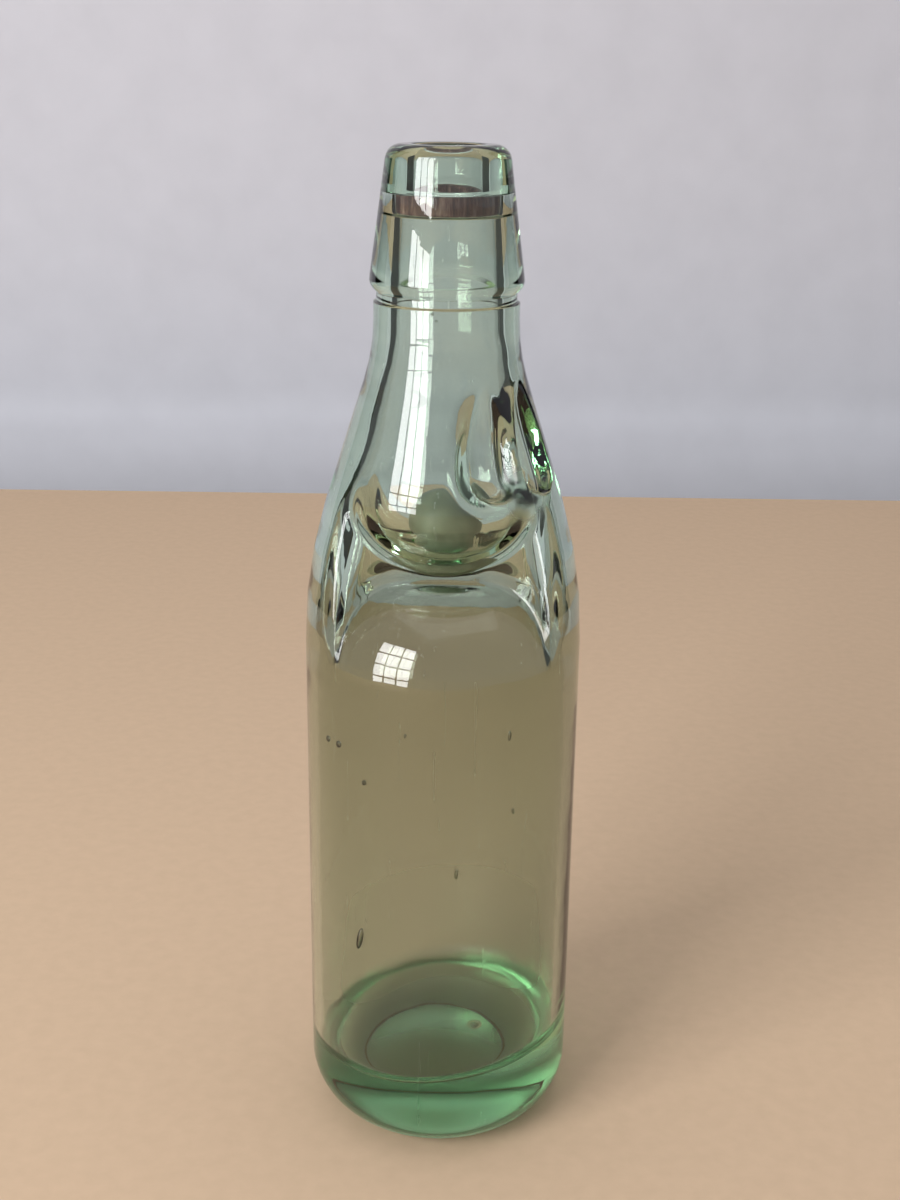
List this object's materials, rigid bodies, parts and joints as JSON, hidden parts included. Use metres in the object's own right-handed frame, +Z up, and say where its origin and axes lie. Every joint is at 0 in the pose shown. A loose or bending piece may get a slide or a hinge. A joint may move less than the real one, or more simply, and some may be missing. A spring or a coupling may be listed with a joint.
{
  "type": "marble stopper bottle",
  "caption": "Glass soda bottle closed by a loose marble inside, with a pinched waist that holds the marble, catches on the shoulder, a stout collar and a rubber ring in the lip.",
  "frame": {"origin": "middle of the base, on the surface that the bottle stands on", "axes": "+Z up along the bottle's axis; -Y faces the front pinch; the catches are to the right of the front, towards +X"},
  "size_m": [0.058, 0.058, 0.2122],
  "materials": {
    "glass_bottle": "pale aqua moulded glass with seeds and light wear",
    "stopper_marble": "olive grey glass, ground satin",
    "sealing_ring": "aged red-brown rubber, matt"
  },
  "bodies": {
    "bottle": {"glass_bottle": "glass_bottle", "sealing_ring": "sealing_ring"},
    "marble": {"stopper_marble": "stopper_marble"}
  },
  "joints": [
    {"name": "marble_lift", "type": "slide", "parent": "bottle", "child": "marble", "axis": [0, 0, 1], "range_m": [0, 0.0585]}
  ]
}
